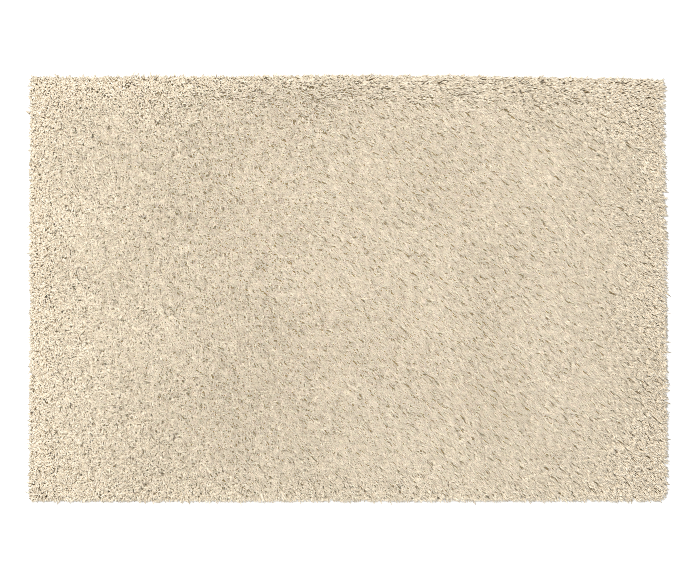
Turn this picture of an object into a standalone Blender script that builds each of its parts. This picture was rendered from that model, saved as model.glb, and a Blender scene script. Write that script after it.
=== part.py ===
"""Shag rug: one rectangular piece of cream cut-pile cloth that lies flat on the floor.

Ground cloth, latexed back and pile are one piece of goods, so they are one solid here. Its outline is that of the
yarn tips, which lean out over the edges of the cloth, and its top is the mean surface of the pile. Single yarns
aren't modelled.

Metres. The origin is the middle of the underside, on the floor. +X runs along the long side, towards which the
pile leans, +Y runs along the short side, towards the back edge, and +Z is up.
"""

import math
from collections import namedtuple

import bmesh
import bpy

# Driving dimensions.
RUG_LENGTH = 1.800  # along X, between the outermost yarn tips
RUG_WIDTH = 1.200  # along Y, between the outermost yarn tips
PILE_HEIGHT = 0.031  # floor to the top of the pile where it stands upright, with the ground cloth
EDGE_HEIGHT = 0.006  # floor to the outermost yarn tips, which droop over the edge of the cloth

# How finely the surface is divided.
LENGTH_STEPS = 58
WIDTH_STEPS = 42
EDGE_ROWS = 5  # of those steps, on each side, that make the rounded edge of the pile

# The pile rounds off over this distance inside each edge. Where it lies over, on the right, it rounds off slowest.
ROUNDING_LEFT = 0.026
ROUNDING_RIGHT = 0.042
ROUNDING_FRONT = 0.028
ROUNDING_BACK = 0.028

# The corners of the outline.
CORNER_FRONT_LEFT = 0.012
CORNER_FRONT_RIGHT = 0.038
CORNER_BACK_RIGHT = 0.020
CORNER_BACK_LEFT = 0.014

# No edge is quite straight. share runs along the edge, from left to right or from front to back, and inset is how
# far the tips stay inside the box of RUG_LENGTH by RUG_WIDTH there.
EdgeRow = namedtuple("EdgeRow", "share inset")
BACK_EDGE = (
    EdgeRow(share=0.00, inset=0.0050),
    EdgeRow(share=0.09, inset=0.0075),
    EdgeRow(share=0.22, inset=0.0042),
    EdgeRow(share=0.35, inset=0.0028),
    EdgeRow(share=0.47, inset=0.0000),
    EdgeRow(share=0.66, inset=0.0011),
    EdgeRow(share=0.78, inset=0.0056),
    EdgeRow(share=0.91, inset=0.0090),
    EdgeRow(share=1.00, inset=0.0120),
)
FRONT_EDGE = (
    EdgeRow(share=0.00, inset=0.0011),
    EdgeRow(share=0.25, inset=0.0000),
    EdgeRow(share=0.60, inset=0.0006),
    EdgeRow(share=0.80, inset=0.0017),
    EdgeRow(share=1.00, inset=0.0017),
)
LEFT_EDGE = (
    EdgeRow(share=0.00, inset=0.0000),
    EdgeRow(share=0.25, inset=0.0006),
    EdgeRow(share=0.45, inset=0.0025),
    EdgeRow(share=0.75, inset=0.0011),
    EdgeRow(share=1.00, inset=0.0028),
)
RIGHT_EDGE = (
    EdgeRow(share=0.00, inset=0.0003),
    EdgeRow(share=0.12, inset=0.0000),
    EdgeRow(share=0.45, inset=0.0020),
    EdgeRow(share=0.60, inset=0.0008),
    EdgeRow(share=0.82, inset=0.0056),
    EdgeRow(share=1.00, inset=0.0084),
)

# The more the pile leans, the lower its top. share runs along the rug, from left to right, and drop is how far the
# top lies below PILE_HEIGHT there.
NapRow = namedtuple("NapRow", "share drop")
NAP = (
    NapRow(share=0.00, drop=0.0015),
    NapRow(share=0.12, drop=0.0005),
    NapRow(share=0.35, drop=0.0010),
    NapRow(share=0.60, drop=0.0030),
    NapRow(share=0.85, drop=0.0050),
    NapRow(share=1.00, drop=0.0065),
)

# Long, shallow swells in the pile: the waves that cross the rug along X and along Y, their turn and their height.
SwellRow = namedtuple("SwellRow", "waves_x waves_y turn height")
SWELLS = (
    SwellRow(waves_x=1.5, waves_y=1.0, turn=0.6, height=0.0006),
    SwellRow(waves_x=3.5, waves_y=-2.0, turn=2.1, height=0.0005),
    SwellRow(waves_x=5.0, waves_y=3.5, turn=4.4, height=0.0004),
)

YARN_CREAM = (0.698, 0.597, 0.445, 1.0)  # linear


def between_rows(rows, share, column):
    """The column's value at this share, eased from each row to the next."""
    for low, high in zip(rows, rows[1:]):
        if share <= high.share:
            way = max(share - low.share, 0.0) / (high.share - low.share)
            ease = (1.0 - math.cos(math.pi * way)) / 2.0
            start = getattr(low, column)
            return start + (getattr(high, column) - start) * ease
    return getattr(rows[-1], column)


def grid_line(index, steps, half, rounding_low, rounding_high):
    """Where a grid line lies: the outer EDGE_ROWS follow a quarter round, and the rest are evenly spaced."""
    if index > steps / 2:
        return -grid_line(steps - index, steps, half, rounding_high, rounding_low)
    if index < EDGE_ROWS:
        turn = math.pi / 2 * index / EDGE_ROWS
        return -half + rounding_low * (1.0 - math.cos(turn))
    inner_low = -half + rounding_low
    inner_high = half - rounding_high
    return inner_low + (inner_high - inner_low) * (index - EDGE_ROWS) / (steps - 2 * EDGE_ROWS)


def corner_radius(x, y):
    if y < 0:
        return CORNER_FRONT_LEFT if x < 0 else CORNER_FRONT_RIGHT
    return CORNER_BACK_LEFT if x < 0 else CORNER_BACK_RIGHT


def round_corner(x, y):
    """The place of a point once its corner is rounded, and its distance inside the outline there. The square at
    the corner is drawn in to a quarter disc."""
    radius = corner_radius(x, y)
    past_x = abs(x) - (RUG_LENGTH / 2 - radius)
    past_y = abs(y) - (RUG_WIDTH / 2 - radius)
    if past_x <= 0 or past_y <= 0:
        return x, y, radius - max(past_x, past_y)
    share_x = past_x / radius
    share_y = past_y / radius
    drawn_x = past_x * math.sqrt(1.0 - share_y**2 / 2.0)
    drawn_y = past_y * math.sqrt(1.0 - share_x**2 / 2.0)
    new_x = math.copysign(RUG_LENGTH / 2 - radius + drawn_x, x)
    new_y = math.copysign(RUG_WIDTH / 2 - radius + drawn_y, y)
    return new_x, new_y, radius - math.hypot(drawn_x, drawn_y)


def rounding_at(x, y):
    """How far inside the nearest edge the pile rounds off. Across a corner it passes from one edge's to the next's."""
    along_x = ROUNDING_LEFT if x < 0 else ROUNDING_RIGHT
    along_y = ROUNDING_FRONT if y < 0 else ROUNDING_BACK
    to_side = RUG_LENGTH / 2 - abs(x)
    to_end = RUG_WIDTH / 2 - abs(y)
    share = to_side / max(to_side + to_end, 1e-9)
    return along_x + (along_y - along_x) * share


def pile_height(x, y, inside):
    """The top of the pile at a point this far inside the outline."""
    share = x / RUG_LENGTH + 0.5
    full = PILE_HEIGHT - between_rows(NAP, share, "drop")
    for swell in SWELLS:
        turns = swell.waves_x * x / RUG_LENGTH + swell.waves_y * y / RUG_WIDTH
        full += swell.height * math.sin(2 * math.pi * turns + swell.turn)
    short_of_full = max(1.0 - inside / rounding_at(x, y), 0.0)
    return EDGE_HEIGHT + (full - EDGE_HEIGHT) * math.sqrt(max(1.0 - short_of_full**2, 0.0))


def inside_edges(x, y):
    """The point moved in with the edges, which pull the cloth least at its middle."""
    share_x = x / RUG_LENGTH + 0.5
    share_y = y / RUG_WIDTH + 0.5
    side_rows, end_rows = (LEFT_EDGE if x < 0 else RIGHT_EDGE), (FRONT_EDGE if y < 0 else BACK_EDGE)
    pull_x = between_rows(side_rows, share_y, "inset") * 2 * x / RUG_LENGTH
    pull_y = between_rows(end_rows, share_x, "inset") * 2 * y / RUG_WIDTH
    return x - pull_x, y - pull_y


def shape_pile(mesh):
    """Turns a flat grid, 2 by 2, into the top of the pile."""
    for vertex in mesh.verts:
        column = round((vertex.co.x + 1.0) / 2.0 * LENGTH_STEPS)
        row = round((vertex.co.y + 1.0) / 2.0 * WIDTH_STEPS)
        x = grid_line(column, LENGTH_STEPS, RUG_LENGTH / 2, ROUNDING_LEFT, ROUNDING_RIGHT)
        y = grid_line(row, WIDTH_STEPS, RUG_WIDTH / 2, ROUNDING_FRONT, ROUNDING_BACK)
        x, y, inside = round_corner(x, y)
        vertex.co.z = pile_height(x, y, inside)
        vertex.co.x, vertex.co.y = inside_edges(x, y)


def close_underside(mesh):
    """Takes the rim of the pile straight down to the floor and closes it with one flat face."""
    rim = [edge for edge in mesh.edges if edge.is_boundary]
    sides = bmesh.ops.extrude_edge_only(mesh, edges=rim)["geom"]
    foot = [item for item in sides if isinstance(item, bmesh.types.BMVert)]
    for vertex in foot:
        vertex.co.z = 0.0
    foot_edges = [edge for edge in mesh.edges if edge.is_boundary]
    bmesh.ops.contextual_create(mesh, geom=foot_edges)
    bmesh.ops.recalc_face_normals(mesh, faces=mesh.faces)


def centre_on_origin(mesh):
    """Sets the middle of the box on the origin, because the uneven edges leave it a little to one side."""
    for axis in (0, 1):
        places = [vertex.co[axis] for vertex in mesh.verts]
        middle = (min(places) + max(places)) / 2
        for vertex in mesh.verts:
            vertex.co[axis] -= middle


def pile_material():
    """Cream polypropylene yarn: matt, with no metal in it."""
    material = bpy.data.materials.new("cream_pile_yarn")
    material.use_nodes = True
    shader = material.node_tree.nodes["Principled BSDF"]
    shader.inputs["Base Color"].default_value = YARN_CREAM
    shader.inputs["Roughness"].default_value = 0.9
    shader.inputs["Metallic"].default_value = 0.0
    return material


def make_rug():
    mesh = bmesh.new()
    bmesh.ops.create_grid(mesh, x_segments=LENGTH_STEPS, y_segments=WIDTH_STEPS, size=1.0)
    shape_pile(mesh)
    close_underside(mesh)
    centre_on_origin(mesh)
    data = bpy.data.meshes.new("rug")
    mesh.to_mesh(data)
    mesh.free()
    data.shade_smooth()
    data.set_sharp_from_angle(angle=math.radians(50))
    data.materials.append(pile_material())
    rug = bpy.data.objects.new("rug", data)
    bpy.context.scene.collection.objects.link(rug)


for leftover in list(bpy.data.objects):
    bpy.data.objects.remove(leftover)
make_rug()
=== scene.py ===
import math

import bmesh
import bpy
import numpy as np
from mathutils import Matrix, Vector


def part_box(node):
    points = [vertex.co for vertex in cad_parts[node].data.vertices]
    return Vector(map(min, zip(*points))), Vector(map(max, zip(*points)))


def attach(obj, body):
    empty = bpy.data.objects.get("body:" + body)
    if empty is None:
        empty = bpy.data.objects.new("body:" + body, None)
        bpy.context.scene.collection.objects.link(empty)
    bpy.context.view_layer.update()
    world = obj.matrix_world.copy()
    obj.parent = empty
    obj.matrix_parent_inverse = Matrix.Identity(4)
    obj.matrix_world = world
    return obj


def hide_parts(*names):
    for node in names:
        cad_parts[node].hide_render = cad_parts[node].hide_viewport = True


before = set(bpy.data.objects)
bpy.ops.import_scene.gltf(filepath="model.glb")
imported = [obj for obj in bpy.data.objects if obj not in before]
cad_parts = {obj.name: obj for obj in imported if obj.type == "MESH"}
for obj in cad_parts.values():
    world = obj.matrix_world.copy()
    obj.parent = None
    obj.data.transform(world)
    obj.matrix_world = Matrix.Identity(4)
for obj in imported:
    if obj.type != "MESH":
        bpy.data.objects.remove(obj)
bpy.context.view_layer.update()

# ---- Ground cloth ------------------------------------------------------------------------------
# A rectangle of woven polypropylene tape that the yarns are tufted through, stiffened from below by a film
# of latex over an open jute scrim. It is cut a little smaller than the pile reaches, and its edge is turned
# under and sewn.

# Sizes are in metres.
RUG_LOW, RUG_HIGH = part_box("rug")
RUG_LENGTH = RUG_HIGH.x - RUG_LOW.x
RUG_WIDTH = RUG_HIGH.y - RUG_LOW.y
FLOOR_LEVEL = RUG_LOW.z
CORNER_REACH = 0.045  # how far along an edge its rounded corners are left out of its line
WELD = 0.00005  # corners nearer than this are one

# How far the cloth stays inside the yarn tips, which hang out over it.
CLOTH_INSET_LEFT = 0.009
CLOTH_INSET_RIGHT = 0.022
CLOTH_INSET_FRONT = 0.011
CLOTH_INSET_BACK = 0.002
CLOTH_LENGTH = RUG_LENGTH - CLOTH_INSET_LEFT - CLOTH_INSET_RIGHT
CLOTH_WIDTH = RUG_WIDTH - CLOTH_INSET_FRONT - CLOTH_INSET_BACK
CLOTH_THICKNESS = 0.0030
HEM_WIDTH = 0.010
HEM_THICKNESS = 0.0042  # where the cloth is doubled, pressed flat by its stitching
CLOTH_STEPS_ALONG = 64
CLOTH_STEPS_ACROSS = 44

GROUND_CREAM = "#b59d6e"
LATEX_GREY = "#a89d86"
JUTE_TAN = "#a0865a"
TAPE_PITCH = 0.006  # a real ground has tapes 2 mm wide, too fine to show
SCRIM_PITCH = 0.012  # a real scrim has its threads 3 mm apart, too fine to show
WAVE_LENGTH = math.pi / 10  # metres from one crest to the next of a wave texture whose scale is 1


def outline_points():
    """The rug's outline on the floor, once round, from the foot of the solid."""
    places = np.array([vertex.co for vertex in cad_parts["rug"].data.vertices])
    foot = places[places[:, 2] < FLOOR_LEVEL + WELD][:, :2]
    foot = np.unique(np.round(foot / WELD), axis=0) * WELD
    middle = foot.mean(axis=0)
    turn = np.arctan2(foot[:, 1] - middle[1], foot[:, 0] - middle[0])
    return foot[np.argsort(turn)]


OUTLINE = outline_points()


def edge_line(axis, side):
    """One edge of the outline as two rows: places along it, and how far out it lies there."""
    along, out = OUTLINE[:, axis], OUTLINE[:, 1 - axis] * side
    half_out = (RUG_WIDTH if axis == 0 else RUG_LENGTH) / 2
    half_along = (RUG_LENGTH if axis == 0 else RUG_WIDTH) / 2
    near = (out > half_out - CORNER_REACH) & (np.abs(along) < half_along - CORNER_REACH)
    order = np.argsort(along[near])
    return along[near][order], (out[near] * side)[order]


FRONT_LINE = edge_line(axis=0, side=-1)
BACK_LINE = edge_line(axis=0, side=1)
LEFT_LINE = edge_line(axis=1, side=-1)
RIGHT_LINE = edge_line(axis=1, side=1)


def on_cloth(u, v):
    """The place on the cloth that lies this share of the way along it and across it."""
    x, y = RUG_LOW.x + RUG_LENGTH * u, RUG_LOW.y + RUG_WIDTH * v
    left = np.interp(y, *LEFT_LINE) + CLOTH_INSET_LEFT
    right = np.interp(y, *RIGHT_LINE) - CLOTH_INSET_RIGHT
    front = np.interp(x, *FRONT_LINE) + CLOTH_INSET_FRONT
    back = np.interp(x, *BACK_LINE) - CLOTH_INSET_BACK
    return left + (right - left) * u, front + (back - front) * v


def cloth_shares(steps, size):
    """Where the cloth's grid lines lie, as shares of its size, with one at each hem's inner edge."""
    return np.concatenate([[0.0], np.linspace(HEM_WIDTH / size, 1 - HEM_WIDTH / size, steps - 1), [1.0]])


def make_ground_cloth():
    mesh = bmesh.new()
    bmesh.ops.create_grid(mesh, x_segments=CLOTH_STEPS_ALONG, y_segments=CLOTH_STEPS_ACROSS, size=0.5)
    shares_along = cloth_shares(CLOTH_STEPS_ALONG, CLOTH_LENGTH)
    shares_across = cloth_shares(CLOTH_STEPS_ACROSS, CLOTH_WIDTH)
    for vertex in mesh.verts:
        column = round((vertex.co.x + 0.5) * CLOTH_STEPS_ALONG)
        row = round((vertex.co.y + 0.5) * CLOTH_STEPS_ACROSS)
        in_hem = min(column, CLOTH_STEPS_ALONG - column, row, CLOTH_STEPS_ACROSS - row) <= 1
        x, y = on_cloth(shares_along[column], shares_across[row])
        vertex.co = (x, y, FLOOR_LEVEL + (HEM_THICKNESS if in_hem else CLOTH_THICKNESS))
    rim = [edge for edge in mesh.edges if edge.is_boundary]
    sides = bmesh.ops.extrude_edge_only(mesh, edges=rim)["geom"]
    for vertex in (item for item in sides if isinstance(item, bmesh.types.BMVert)):
        vertex.co.z = FLOOR_LEVEL
    foot = [edge for edge in mesh.edges if edge.is_boundary]
    underside = bmesh.ops.contextual_create(mesh, geom=foot)["faces"]
    for face in underside:
        face.material_index = 1
    bmesh.ops.recalc_face_normals(mesh, faces=mesh.faces)
    data = bpy.data.meshes.new("ground_cloth")
    mesh.to_mesh(data)
    mesh.free()
    cloth = bpy.data.objects.new("ground_cloth", data)
    bpy.context.scene.collection.objects.link(cloth)
    return cloth


def linear(text):
    """An sRGB hex colour as linear numbers with alpha."""
    values = [int(text[i : i + 2], 16) / 255 for i in (1, 3, 5)]
    return (*[v / 12.92 if v <= 0.04045 else ((v + 0.055) / 1.055) ** 2.4 for v in values], 1.0)


def add_node(tree, kind, inputs=None, **settings):
    """Adds one node with its settings, and sets or links its inputs."""
    node = tree.nodes.new(kind)
    for name, value in settings.items():
        setattr(node, name, value)
    for socket, value in (inputs or {}).items():
        if isinstance(value, bpy.types.NodeSocket):
            tree.links.new(value, node.inputs[socket])
        else:
            node.inputs[socket].default_value = value
    return node


def crossed_threads(name, gap_colour, thread_colour, pitch):
    """A cloth material with threads both ways, a pitch apart, over what shows between them."""
    material = bpy.data.materials.new(name)
    material.use_nodes = True
    tree = material.node_tree
    shader = tree.nodes["Principled BSDF"]
    place = add_node(tree, "ShaderNodeTexCoord").outputs["Object"]
    wave_scale = WAVE_LENGTH / pitch
    ridges = []
    for direction in ("X", "Y"):
        spaced = {"Vector": place, "Scale": wave_scale}
        wave = add_node(tree, "ShaderNodeTexWave", spaced, bands_direction=direction)
        ridges.append(wave.outputs["Fac"])
    net = {0: ridges[0], 1: ridges[1]}
    net = add_node(tree, "ShaderNodeMath", net, operation="MAXIMUM").outputs["Value"]
    colours = {"Factor": net, "A": linear(gap_colour), "B": linear(thread_colour)}
    colour = add_node(tree, "ShaderNodeMix", colours, data_type="RGBA").outputs["Result"]
    tree.links.new(colour, shader.inputs["Base Color"])
    return material, shader


def woven_polypropylene_ground():
    """Split-film polypropylene tape, plain-woven. Smooth tapes give it a slight gloss. Between them the
    jute's darker tan shows, partly the jute below and partly painted shade in the weave's gaps."""
    # The jute tan between the tapes is partly the jute below and partly painted shade.
    material, shader = crossed_threads("woven_polypropylene_ground", JUTE_TAN, GROUND_CREAM, TAPE_PITCH)
    shader.inputs["Roughness"].default_value = 0.7
    shader.inputs["IOR"].default_value = 1.49
    return material


def latexed_jute_scrim():
    """Leno-woven jute under a wiped film of filled latex. Dull and chalky, with the threads standing out."""
    material, shader = crossed_threads("latexed_jute_scrim", LATEX_GREY, JUTE_TAN, SCRIM_PITCH)
    shader.inputs["Roughness"].default_value = 0.92
    shader.inputs["IOR"].default_value = 1.52
    return material


ground_cloth = make_ground_cloth()
ground_cloth.data.materials.append(woven_polypropylene_ground())
ground_cloth.data.materials.append(latexed_jute_scrim())
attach(ground_cloth, "root")
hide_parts("rug")

# ---- Pile --------------------------------------------------------------------------------------
# Yarns of twisted cream polypropylene, tufted through the cloth in close rows and cut to one length. They
# stand nearly upright on the left, lie over more and more towards the right, and hang out over the hem at
# each edge.

YARN_COUNT = 245000  # a real pile may well have more and finer ones
YARN_LENGTH = 0.031
YARN_SPREAD = 0.15  # from yarn to yarn, as a share of the length
SPREAD_LIMITS = (-2.5, 1.5)  # the shearing leaves none shorter or longer than this many of those
ROW_STAGGER = 0.5  # of the distance between tufts, from one row to the next
TUFT_JITTER = 0.40  # of the distance between tufts, either way
ROOT_SINK = 0.0005  # how far below the top of the cloth a yarn starts
TIP_SWING = 0.15  # radians, how far a tip turns aside from its yarn's heading
MOST_LEAN = 84  # degrees
ROOT_SHARE_OF_LEAN = 0.55  # a yarn leaves the cloth with this share of the tilt it has on the whole

# How the pile lies at places from the left edge to the right one. NAP_LEAN is how far it lies over, in
# degrees from upright, and NAP_HEADING is where to, in degrees from +X. NAP_CLUMP and NAP_SCATTER are how
# far that differs, in degrees, from one clump to the next and from one yarn to the next. NAP_RADIUS is that
# of a yarn where it is thickest, in metres: where the pile stands up, its cut ends show, and they have
# untwisted a little.
NAP_SHARE = (0.00, 0.12, 0.28, 0.45, 0.65, 0.85, 1.00)
NAP_LEAN = (14, 18, 28, 38, 48, 54, 58)
NAP_HEADING = (-60, -55, -45, -41, -40, -40, -36)
NAP_CLUMP = (6, 8, 11, 15, 16, 16, 16)
NAP_SCATTER = (32, 30, 20, 12, 8, 7, 7)
NAP_RADIUS = (0.0023, 0.0020, 0.0016, 0.0014, 0.0012, 0.0012, 0.0012)
CLUMP_LENGTH = 0.014  # along the nap
CLUMP_WIDTH = 0.0045  # across it
CLUMP_TURN = -40  # degrees, from +X to the clumps' long way
PATCH_LEAN = 5  # degrees, from one broad patch to the next
PATCH_SIZE = 0.16
SPARE_CELLS = 4  # how many more cells a grid of random numbers has each way than the rug covers

BLOOM = 0.35  # how much thicker the yarns are at the very edge, where brushing has untwisted them
BLOOM_BAND = 0.060

# The edges in order are left, right, front and back.
EDGE_OUTWARD = ((-1, 0), (1, 0), (0, -1), (0, 1))
EDGE_LEAN = (17, 62, 34, 6)  # degrees, how far the yarns on the hem lean out over it
EDGE_BAND = (0.070, 0.035, 0.050, 0.090)  # how far inside the outline that lean begins
EDGE_SQUARING = (0.5, 0.1, 0.5, 0.0)  # how much of their lean along the edge the yarns on the hem lose
TIP_FUZZ = (0.0022, 0.0110, 0.0026, 0.0045)  # how far past the outline the tips end, on average
TIP_SHORT = 0.0010  # and how far short of it the trimmed ones end
LEAST_TRIM = 0.45  # a trimmed yarn keeps at least this share of its length
TRIM_STEPS = 12
SEED_TUFTS, SEED_YARNS = 11, 23
SEED_PATCHES, SEED_CLUMPS, SEED_SHADE = 3, 5, 9


def soft_noise(x, y, grain, seed):
    """Smooth random numbers from -1 to 1 at each point, in lumps of about this size."""
    columns = int(RUG_LENGTH / grain) + SPARE_CELLS
    rows = int(RUG_WIDTH / grain) + SPARE_CELLS
    values = np.random.default_rng(seed).uniform(-1, 1, (columns, rows))
    across = (x - RUG_LOW.x) / grain + 1
    up = (y - RUG_LOW.y) / grain + 1
    column = across.astype(int).clip(0, columns - 2)
    row = up.astype(int).clip(0, rows - 2)
    u, v = (across - column).clip(0, 1), (up - row).clip(0, 1)
    u, v = u * u * (3 - 2 * u), v * v * (3 - 2 * v)
    low = values[column, row] * (1 - u) + values[column + 1, row] * u
    high = values[column, row + 1] * (1 - u) + values[column + 1, row + 1] * u
    return low * (1 - v) + high * v


def tuft_roots():
    """Where the yarns leave the cloth: staggered rows, each tuft a little out of line."""
    pitch = math.sqrt(CLOTH_LENGTH * CLOTH_WIDTH / YARN_COUNT)
    columns, rows = int(CLOTH_LENGTH / pitch), int(CLOTH_WIDTH / pitch)
    column, row = np.meshgrid(np.arange(columns), np.arange(rows), indexing="ij")
    jitter = np.random.default_rng(SEED_TUFTS).uniform(-TUFT_JITTER, TUFT_JITTER, (2, columns, rows))
    u = (column + ROW_STAGGER / 2 + ROW_STAGGER * (row % 2) + jitter[0]) / columns
    v = (row + 0.5 + jitter[1]) / rows
    return on_cloth(u.clip(0, 1).ravel(), v.clip(0, 1).ravel())


def within_edges(x, y):
    """How far points lie inside each edge."""
    return (
        x - np.interp(y, *LEFT_LINE),
        np.interp(y, *RIGHT_LINE) - x,
        y - np.interp(x, *FRONT_LINE),
        np.interp(x, *BACK_LINE) - y,
    )


def outside_outline(points):
    """How far points lie outside the outline, negative inside it."""
    step = np.roll(OUTLINE, -1, axis=0) - OUTLINE
    offset = points[:, None] - OUTLINE
    share = ((offset * step).sum(axis=2) / (step**2).sum(axis=1)).clip(0, 1)
    gap = offset - share[:, :, None] * step
    distance = np.linalg.norm(gap, axis=2)
    nearest = distance.argmin(axis=1)
    rows = np.arange(len(points))
    outward = np.stack([step[nearest, 1], -step[nearest, 0]], axis=1)
    outside = (gap[rows, nearest] * outward).sum(axis=1) > 0
    return np.where(outside, 1, -1) * distance[rows, nearest]


def clump_leans(x, y):
    """Two random numbers from -1 to 1 for each yarn, the same for all the yarns of one clump. A clump is
    made of the yarns nearest to one of many uneven places."""
    turn = math.radians(CLUMP_TURN)
    from_left, from_front, from_back = x - RUG_LOW.x, y - RUG_LOW.y, y - RUG_HIGH.y
    along = from_left * math.cos(turn) + from_back * math.sin(turn)
    across = from_front * math.cos(turn) - from_left * math.sin(turn)
    places = np.stack([along / CLUMP_LENGTH, across / CLUMP_WIDTH])
    cells = places.max(axis=1).astype(int) + SPARE_CELLS
    rng = np.random.default_rng(SEED_CLUMPS)
    middles = rng.uniform(-1, 0, (2, *cells))
    leans = rng.uniform(-1, 1, (2, *cells))
    nearest, found = np.full(len(x), np.inf), np.zeros((2, len(x)))
    for step in np.ndindex(3, 3):  # the yarn's own cell and the eight round it
        cell = places.astype(int) + np.array(step)[:, None]
        distance = np.hypot(*(cell + middles[:, cell[0], cell[1]] - places))
        found = np.where(distance < nearest, leans[:, cell[0], cell[1]], found)
        nearest = np.minimum(distance, nearest)
    return found


def pile_lean(x, y, rng):
    """How far each yarn leans, and its heading, in radians."""
    share = (x - RUG_LOW.x) / RUG_LENGTH
    patches = soft_noise(x, y, PATCH_SIZE, SEED_PATCHES)
    lean = np.interp(share, NAP_SHARE, NAP_LEAN) + PATCH_LEAN * patches
    heading = np.radians(np.interp(share, NAP_SHARE, NAP_HEADING))
    clump = np.interp(share, NAP_SHARE, NAP_CLUMP)
    scatter = np.interp(share, NAP_SHARE, NAP_SCATTER)
    lean_x, lean_y = lean * np.cos(heading), lean * np.sin(heading)
    edges = zip(within_edges(x, y), EDGE_LEAN, EDGE_BAND, EDGE_SQUARING, EDGE_OUTWARD)
    for inside, most, band, squaring, (out_x, out_y) in edges:
        hold = (1 - inside / band).clip(0, 1)
        lean_x += hold * (most * out_x - lean_x * (abs(out_x) + squaring * abs(out_y)))
        lean_y += hold * (most * out_y - lean_y * (abs(out_y) + squaring * abs(out_x)))
    clump_x, clump_y = clump_leans(x, y)
    lean_x += clump * clump_x + scatter * rng.normal(0, 1, len(x))
    lean_y += clump * clump_y + scatter * rng.normal(0, 1, len(x))
    lean = np.minimum(np.hypot(lean_x, lean_y), MOST_LEAN)
    return np.radians(lean), np.arctan2(lean_y, lean_x)


def along_yarn(share, length, lean, heading):
    """How far out and up a yarn has come from its root, this share of the way along it, and its tilt there.
    A yarn is an arc that tips over more and more towards its heading."""
    start = lean * ROOT_SHARE_OF_LEAN
    bend = lean * 2 * (1 - ROOT_SHARE_OF_LEAN)
    half_turn = bend * share / 2
    chord = length * share * np.sinc(half_turn / np.pi)
    out = chord * np.sin(start + half_turn)
    up = chord * np.cos(start + half_turn)
    return np.stack([out * np.cos(heading), out * np.sin(heading), up], axis=1), start + bend * share


def trimmed_length(x, y, length, lean, heading, rng):
    """The yarns' lengths, with those at the edge shorn so that their tips end near the outline."""
    inside = np.stack(within_edges(x, y))
    near = inside.min(axis=0) < YARN_LENGTH * (1 + 2 * YARN_SPREAD)
    roots = np.stack([x, y], axis=1)[near]
    reach = along_yarn(1.0, length, lean, heading)[0][near, :2]
    fuzz = np.array(TIP_FUZZ)[inside[:, near].argmin(axis=0)] * rng.exponential(1, len(roots)) - TIP_SHORT
    kept = np.full(len(roots), LEAST_TRIM)
    for share in np.linspace(LEAST_TRIM, 1, TRIM_STEPS):
        kept = np.where(outside_outline(roots + reach * share) <= fuzz, share, kept)
    trimmed = length.copy()
    trimmed[near] *= kept
    return trimmed


WIDEST = 0.62  # how far up a yarn is thickest
SHADE_ROWS = 32  # shades from the dullest to the palest, each with a row of the yarns' map
SHADE_MIDDLE = 0.55
SHADE_SPREAD = 0.16  # from yarn to yarn
SHADE_PATCHES = 0.05  # from one broad patch to the next


def yarn_fields():
    """What each yarn is made from: where its root is, where its thickest place and its tip are from there,
    which ways are sideways and outward at its thickest place, how thick it is, and which shade it has."""
    rng = np.random.default_rng(SEED_YARNS)
    x, y = tuft_roots()
    count = len(x)
    lean, heading = pile_lean(x, y, rng)
    length = YARN_LENGTH * (1 + YARN_SPREAD * rng.normal(0, 1, count).clip(*SPREAD_LIMITS))
    length = trimmed_length(x, y, length, lean, heading, rng)
    thickest, tilt = along_yarn(WIDEST, length, lean, heading)
    swung = heading + rng.uniform(-TIP_SWING, TIP_SWING, count)
    tip = along_yarn(1.0, length, lean, swung)[0]
    sideways = np.stack([-np.sin(heading), np.cos(heading), 0 * tilt], axis=1)
    level_x = -np.cos(tilt) * np.cos(heading)
    level_y = -np.cos(tilt) * np.sin(heading)
    outward = np.stack([level_x, level_y, np.sin(tilt)], axis=1)
    shade = SHADE_MIDDLE + SHADE_SPREAD * rng.normal(0, 1, count)
    shade += SHADE_PATCHES * soft_noise(x, y, PATCH_SIZE, SEED_SHADE)
    level = np.full(count, FLOOR_LEVEL + CLOTH_THICKNESS - ROOT_SINK)
    row = np.floor(shade * SHADE_ROWS).clip(0, SHADE_ROWS - 1)
    girth = np.interp((x - RUG_LOW.x) / RUG_LENGTH, NAP_SHARE, NAP_RADIUS)
    from_edge = np.min(within_edges(x, y), axis=0)
    girth *= 1 + BLOOM * (1 - from_edge / BLOOM_BAND).clip(0, 1)
    return {
        "root": np.stack([x, y, level], axis=1),
        "thickest": thickest,
        "tip": tip,
        "sideways": sideways,
        "outward": outward,
        "girth": girth,
        "row": row,
    }


BACK_RISE = 0.55  # how far outward of its middle a yarn's two sides lie, in yarn radii


def make_yarn():
    """One cut yarn as a slim closed wedge: root, tip, and two sides where it is thickest. Each corner
    carries how much it takes of the thickest place, the tip, the sideways and the outward way, and its
    place on the map."""
    corners = ((0, 0, 0, 0), (0, 1, 0, 0), (1, 0, -1, BACK_RISE), (1, 0, 1, BACK_RISE))
    root, tip, left, right = range(4)
    faces = ((root, left, right), (tip, right, left), (root, tip, left), (root, right, tip))
    unrolled = (
        ((0, 1 / 2), (WIDEST, 1 / 3), (WIDEST, 2 / 3)),
        ((1, 1 / 2), (WIDEST, 2 / 3), (WIDEST, 1 / 3)),
        ((0, 0), (1, 0), (WIDEST, 1 / 3)),
        ((0, 1), (WIDEST, 2 / 3), (1, 1)),
    )
    places = [(side, rise, WIDEST * at_side + at_tip) for at_side, at_tip, side, rise in corners]
    data = bpy.data.meshes.new("yarn")
    data.from_pydata(places, [], faces)
    for column, name in enumerate(("of_thickest", "of_tip", "of_sideways", "of_outward")):
        made = data.attributes.new(name, "FLOAT", "POINT")
        made.data.foreach_set("value", [float(corner[column]) for corner in corners])
    made = data.attributes.new("unrolled", "FLOAT_VECTOR", "CORNER")
    made.data.foreach_set("vector", [value for face in unrolled for u, v in face for value in (u, v, 0.0)])
    data.shade_smooth()
    return bpy.data.objects.new("yarn", data)


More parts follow.
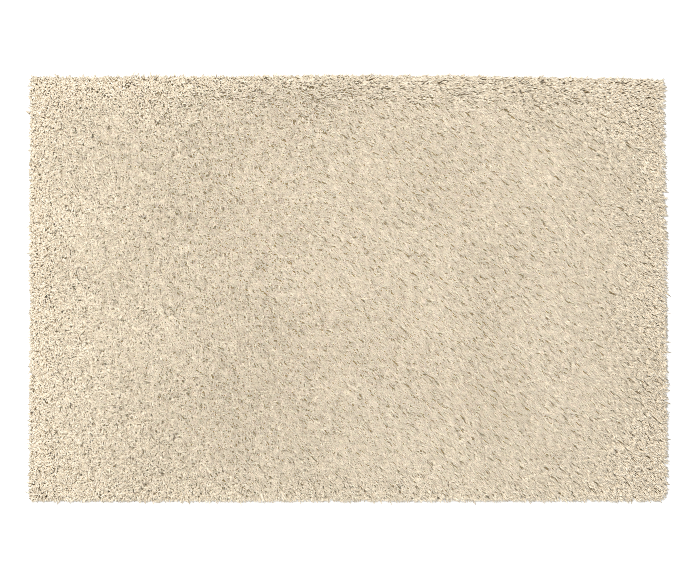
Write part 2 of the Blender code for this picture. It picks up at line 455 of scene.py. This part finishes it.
ROLL = 0.6  # radians, how far a yarn is turned about its own length, either way
THINNEST = 0.75  # from yarn to yarn, as shares of the radius
THICKEST = 1.25
ROW_MARGIN = 0.06  # left free on both sides of a shade's row on the map


def tufting_tree():
    """Puts a yarn on each root, curls it over, and lays its map in the row of its shade."""
    tree = bpy.data.node_groups.new("tuft_the_pile", "GeometryNodeTree")
    sockets = {}
    for name, kind in (
        ("Roots", "NodeSocketGeometry"),
        ("Yarn", "NodeSocketObject"),
        ("Finish", "NodeSocketMaterial"),
        ("Thinnest", "NodeSocketFloat"),
        ("Thickest", "NodeSocketFloat"),
        ("Roll", "NodeSocketFloat"),
        ("Seed", "NodeSocketInt"),
    ):
        sockets[name] = tree.interface.new_socket(name, in_out="INPUT", socket_type=kind).identifier
    tree.interface.new_socket("Pile", in_out="OUTPUT", socket_type="NodeSocketGeometry")
    given = tree.nodes.new("NodeGroupInput").outputs

    place = add_node(tree, "GeometryNodeInputPosition").outputs["Position"]
    other_way = {0: given["Roll"], 1: -1.0}
    other_way = add_node(tree, "ShaderNodeMath", other_way, operation="MULTIPLY").outputs["Value"]
    rolls = {"Min": other_way, "Max": given["Roll"], "Seed": given["Seed"]}
    roll = add_node(tree, "FunctionNodeRandomValue", rolls, data_type="FLOAT").outputs["Value"]
    next_seed = {0: given["Seed"], 1: 1.0}
    next_seed = add_node(tree, "ShaderNodeMath", next_seed, operation="ADD").outputs["Value"]
    swells = {"Min": given["Thinnest"], "Max": given["Thickest"], "Seed": next_seed}
    swell = add_node(tree, "FunctionNodeRandomValue", swells, data_type="FLOAT").outputs["Value"]
    points = add_node(tree, "GeometryNodeMeshToPoints", {"Mesh": given["Roots"]}).outputs["Points"]
    for name, value, kind in (
        ("root", place, "FLOAT_VECTOR"),
        ("roll", roll, "FLOAT"),
        ("swell", swell, "FLOAT"),
    ):
        kept = {"Geometry": points, "Name": name, "Value": value}
        points = add_node(tree, "GeometryNodeStoreNamedAttribute", kept, data_type=kind).outputs["Geometry"]
    yarn = add_node(tree, "GeometryNodeObjectInfo", {"Object": given["Yarn"]}).outputs["Geometry"]
    tufted = {"Points": points, "Instance": yarn}
    tufts = add_node(tree, "GeometryNodeInstanceOnPoints", tufted).outputs["Instances"]
    tufts = add_node(tree, "GeometryNodeRealizeInstances", {"Geometry": tufts}).outputs["Geometry"]

    stored = {}
    for name in ("root", "thickest", "tip", "sideways", "outward", "unrolled"):
        read = add_node(tree, "GeometryNodeInputNamedAttribute", {"Name": name}, data_type="FLOAT_VECTOR")
        stored[name] = read.outputs["Attribute"]
    for name in ("of_thickest", "of_tip", "of_sideways", "of_outward", "girth", "roll", "swell", "row"):
        read = add_node(tree, "GeometryNodeInputNamedAttribute", {"Name": name}, data_type="FLOAT")
        stored[name] = read.outputs["Attribute"]
    parts = {}
    for name in ("thickest", "tip", "sideways", "outward"):
        scaled = {"Vector": stored[name], "Scale": stored["of_" + name]}
        parts[name] = add_node(tree, "ShaderNodeVectorMath", scaled, operation="SCALE").outputs["Vector"]
    offset = {0: parts["sideways"], 1: parts["outward"]}
    offset = add_node(tree, "ShaderNodeVectorMath", offset, operation="ADD").outputs["Vector"]
    turned = {"Vector": offset, "Axis": stored["tip"], "Angle": stored["roll"]}
    offset = add_node(tree, "ShaderNodeVectorRotate", turned, rotation_type="AXIS_ANGLE").outputs["Vector"]
    radius = {0: stored["girth"], 1: stored["swell"]}
    radius = add_node(tree, "ShaderNodeMath", radius, operation="MULTIPLY").outputs["Value"]
    place = {"Vector": offset, "Scale": radius}
    place = add_node(tree, "ShaderNodeVectorMath", place, operation="SCALE").outputs["Vector"]
    for part in (parts["thickest"], parts["tip"], stored["root"]):
        place = {0: place, 1: part}
        place = add_node(tree, "ShaderNodeVectorMath", place, operation="ADD").outputs["Vector"]
    placed = {"Geometry": tufts, "Position": place}
    tufts = add_node(tree, "GeometryNodeSetPosition", placed).outputs["Geometry"]

    laid = add_node(tree, "ShaderNodeSeparateXYZ", {"Vector": stored["unrolled"]}).outputs
    in_row = {"Value": laid["Y"], "To Min": ROW_MARGIN, "To Max": 1 - ROW_MARGIN}
    in_row = add_node(tree, "ShaderNodeMapRange", in_row).outputs["Result"]
    up_map = {0: in_row, 1: stored["row"]}
    up_map = add_node(tree, "ShaderNodeMath", up_map, operation="ADD").outputs["Value"]
    up_map = {0: up_map, 1: SHADE_ROWS}
    up_map = add_node(tree, "ShaderNodeMath", up_map, operation="DIVIDE").outputs["Value"]
    on_map = add_node(tree, "ShaderNodeCombineXYZ", {"X": laid["X"], "Y": up_map}).outputs["Vector"]
    kept = {"Geometry": tufts, "Name": "OFBake", "Value": on_map}
    mapped = add_node(tree, "GeometryNodeStoreNamedAttribute", kept, data_type="FLOAT2", domain="CORNER")
    tufts = mapped.outputs["Geometry"]
    for name in stored:
        spent = {"Geometry": tufts, "Name": name}
        tufts = add_node(tree, "GeometryNodeRemoveAttribute", spent).outputs["Geometry"]
    finished = {"Geometry": tufts, "Material": given["Finish"]}
    tufts = add_node(tree, "GeometryNodeSetMaterial", finished).outputs["Geometry"]
    out = tree.nodes.new("NodeGroupOutput")
    tree.links.new(tufts, out.inputs[0])
    return tree, sockets


# The yarn's colours from tip to root. The root's darker colour is painted shade of the deep pile.
YARN_TIP = "#faf1e0"
YARN_SIDE = "#f4e7d2"
PAINTED_ROOT_SHADE = "#bfa577"
YARN_SHADED = "#beb8ab"  # what the darkest shade of yarn multiplies those by
ROOT_SHADE_END = 0.05  # how far up a yarn its root keeps the full painted shade, as a share of its length
SIDE_START = 0.55  # and where that painted shade has faded into the side's own colour
TWISTS = 7  # turns of the two plies along one yarn
GROOVE_WIDTH = 0.3  # of the distance from groove to groove
GROOVE_SHADE = 0.9  # of the light that the plies throw back


def twisted_pile_yarn():
    """Heat-set two-ply polypropylene yarn with cut ends. Matt and a little translucent, so light spreads in
    it. Its colour carries painted shade: darker towards the root, deep in the pile, and palest at the tip on
    top, with small painted shadows in the groove between its plies. No two yarns are quite one shade."""
    material = bpy.data.materials.new("heat_set_polypropylene_yarn")
    material.use_nodes = True
    tree = material.node_tree
    shader = tree.nodes["Principled BSDF"]
    shader.inputs["Roughness"].default_value = 0.62
    shader.inputs["IOR"].default_value = 1.49
    shader.inputs["Subsurface Weight"].default_value = 0.18
    shader.inputs["Subsurface Radius"].default_value = (1.0, 0.95, 0.85)
    shader.inputs["Subsurface Scale"].default_value = 0.002
    on_map = add_node(tree, "ShaderNodeUVMap", uv_map="OFBake").outputs["UV"]
    laid = add_node(tree, "ShaderNodeSeparateXYZ", {"Vector": on_map}).outputs
    rows = {0: laid["Y"], 1: SHADE_ROWS}
    rows = add_node(tree, "ShaderNodeMath", rows, operation="MULTIPLY").outputs["Value"]
    row = add_node(tree, "ShaderNodeMath", {0: rows}, operation="FLOOR").outputs["Value"]
    shade = {0: row, 1: SHADE_ROWS - 1}
    shade = add_node(tree, "ShaderNodeMath", shade, operation="DIVIDE").outputs["Value"]
    around = add_node(tree, "ShaderNodeMath", {0: rows}, operation="FRACT").outputs["Value"]
    # Painted shade along each yarn: darkest at the root, deep in the pile, and palest at the tip, on top.
    ramp = add_node(tree, "ShaderNodeValToRGB", {"Fac": laid["X"]})
    shaded_root, tip_end = ramp.color_ramp.elements
    shaded_root.position = ROOT_SHADE_END
    shaded_root.color = linear(PAINTED_ROOT_SHADE)
    tip_end.color = linear(YARN_TIP)
    ramp.color_ramp.elements.new(SIDE_START).color = linear(YARN_SIDE)
    dull = {"Factor": 1.0, "A": ramp.outputs["Color"], "B": linear(YARN_SHADED)}
    dull = add_node(tree, "ShaderNodeMix", dull, data_type="RGBA", blend_type="MULTIPLY").outputs["Result"]
    dyed = {"Factor": shade, "A": dull, "B": ramp.outputs["Color"]}
    dyed = add_node(tree, "ShaderNodeMix", dyed, data_type="RGBA").outputs["Result"]
    turn = {0: laid["X"], 1: TWISTS, 2: around}
    turn = add_node(tree, "ShaderNodeMath", turn, operation="MULTIPLY_ADD").outputs["Value"]
    groove = {0: turn, 1: 1.0}
    groove = add_node(tree, "ShaderNodeMath", groove, operation="PINGPONG").outputs["Value"]
    groove = {"Value": groove, "From Max": GROOVE_WIDTH, "To Min": GROOVE_SHADE}
    groove = add_node(tree, "ShaderNodeMapRange", groove).outputs["Result"]
    colour = {"Vector": dyed, "Scale": groove}
    colour = add_node(tree, "ShaderNodeVectorMath", colour, operation="SCALE").outputs["Vector"]
    tree.links.new(colour, shader.inputs["Base Color"])
    return material


PILE_STRIPS = ("pile_left", "pile_middle_left", "pile_middle", "pile_middle_right", "pile_right")
SEED_TUFTING = 17


def roots_object(name, fields, chosen):
    """The tuft roots of one strip as loose points that carry each yarn's numbers."""
    data = bpy.data.meshes.new(name)
    data.vertices.add(int(chosen.sum()))
    data.vertices.foreach_set("co", fields["root"][chosen].astype(np.float32).ravel())
    for field in ("thickest", "tip", "sideways", "outward"):
        made = data.attributes.new(field, "FLOAT_VECTOR", "POINT")
        made.data.foreach_set("vector", fields[field][chosen].astype(np.float32).ravel())
    for field in ("girth", "row"):
        made = data.attributes.new(field, "FLOAT", "POINT")
        made.data.foreach_set("value", fields[field][chosen].astype(np.float32))
    roots = bpy.data.objects.new(name, data)
    bpy.context.scene.collection.objects.link(roots)
    return roots


def make_pile():
    """The pile in strips side by side, only so that no one mesh is too heavy."""
    fields = yarn_fields()
    tree, sockets = tufting_tree()
    yarn = make_yarn()
    finish = twisted_pile_yarn()
    root_x = fields["root"][:, 0]
    bounds = np.quantile(root_x, np.linspace(0, 1, len(PILE_STRIPS) + 1))
    strip_of = np.searchsorted(bounds[1:-1], root_x)
    strips = []
    for number, name in enumerate(PILE_STRIPS):
        roots = roots_object(name + "_roots", fields, strip_of == number)
        tufting = roots.modifiers.new("tufting", "NODES")
        tufting.node_group = tree
        tufting[sockets["Yarn"]] = yarn
        tufting[sockets["Finish"]] = finish
        tufting[sockets["Thinnest"]] = THINNEST
        tufting[sockets["Thickest"]] = THICKEST
        tufting[sockets["Roll"]] = ROLL
        tufting[sockets["Seed"]] = SEED_TUFTING + number
        now = bpy.context.evaluated_depsgraph_get()
        data = bpy.data.meshes.new_from_object(roots.evaluated_get(now), depsgraph=now)
        data.name = name
        strip = bpy.data.objects.new(name, data)
        bpy.context.scene.collection.objects.link(strip)
        bpy.data.objects.remove(roots)
        strips.append(strip)
    bpy.data.objects.remove(yarn)
    return strips


pile = make_pile()
for strip in pile:
    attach(strip, "root")

# ---- Studio ------------------------------------------------------------------------------------
# A broad matt white floor under one large softbox, high up and a little to the left at the back, with even
# pale light from all round, so that the pile shades itself softly and the rug throws next to no shadow.

FLOOR_SIZE = 14.0
FLOOR_GAP = 0.0003  # under the rug, so that the two don't share a plane
FLOOR_WHITE = "#f6f6f5"
SOFTBOX_PLACE = (-0.6, 0.5, 5.2)
SOFTBOX_SIZE = 2.2
SOFTBOX_POWER = 345  # watts
SURROUND = 0.48  # strength of the light from all round


def matt_white_floor():
    """Painted board, rolled on. Evenly white with no gloss."""
    material = bpy.data.materials.new("matt_white_floor")
    material.use_nodes = True
    shader = material.node_tree.nodes["Principled BSDF"]
    shader.inputs["Base Color"].default_value = linear(FLOOR_WHITE)
    shader.inputs["Roughness"].default_value = 0.95
    return material


def make_floor():
    mesh = bmesh.new()
    bmesh.ops.create_grid(mesh, x_segments=1, y_segments=1, size=FLOOR_SIZE / 2)
    data = bpy.data.meshes.new("floor")
    mesh.to_mesh(data)
    mesh.free()
    data.materials.append(matt_white_floor())
    floor = bpy.data.objects.new("floor", data)
    floor.location.z = FLOOR_LEVEL - FLOOR_GAP
    bpy.context.scene.collection.objects.link(floor)


def make_softbox():
    data = bpy.data.lights.new("softbox", "AREA")
    data.shape = "SQUARE"
    data.size = SOFTBOX_SIZE
    data.energy = SOFTBOX_POWER
    softbox = bpy.data.objects.new("softbox", data)
    softbox.location = SOFTBOX_PLACE
    softbox.rotation_mode = "QUATERNION"
    softbox.rotation_quaternion = (-softbox.location).to_track_quat("-Z", "Y")
    bpy.context.scene.collection.objects.link(softbox)


def make_surround():
    world = bpy.data.worlds.new("surround")
    world.use_nodes = True
    background = world.node_tree.nodes["Background"]
    background.inputs["Color"].default_value = (1.0, 1.0, 1.0, 1.0)
    background.inputs["Strength"].default_value = SURROUND
    bpy.context.scene.world = world


make_floor()
make_softbox()
make_surround()

# Plain whites, crisp yarns that aren't smeared together, and enough bounces for the light that goes down
# between pale yarns to come up again.
bpy.context.scene.view_settings.view_transform = "Standard"
bpy.context.scene.cycles.filter_width = 0.6
bpy.context.scene.cycles.diffuse_bounces = 8
bpy.context.scene.cycles.denoising_prefilter = "NONE"

# ---- Camera ------------------------------------------------------------------------------------
# A long lens straight above the rug, which lies with its long side across the view. It stands a hair to the
# right and to the front of the rug's middle.

RUG_SHARE_OF_VIEW = 0.915
LENS = 85.0  # millimetres, as is the sensor's width
SENSOR = 36.0
CAMERA_PLACE = (0.0027, -0.0022)
PILE_TOP = 0.012  # the height over the floor at which the rug has its share of the view

camera_data = bpy.data.cameras.new("overhead")
camera_data.lens = LENS
camera_data.sensor_width = SENSOR
camera = bpy.data.objects.new("overhead", camera_data)
camera.location = (*CAMERA_PLACE, RUG_LENGTH / RUG_SHARE_OF_VIEW * LENS / SENSOR + PILE_TOP)
bpy.context.scene.collection.objects.link(camera)
bpy.context.scene.camera = camera
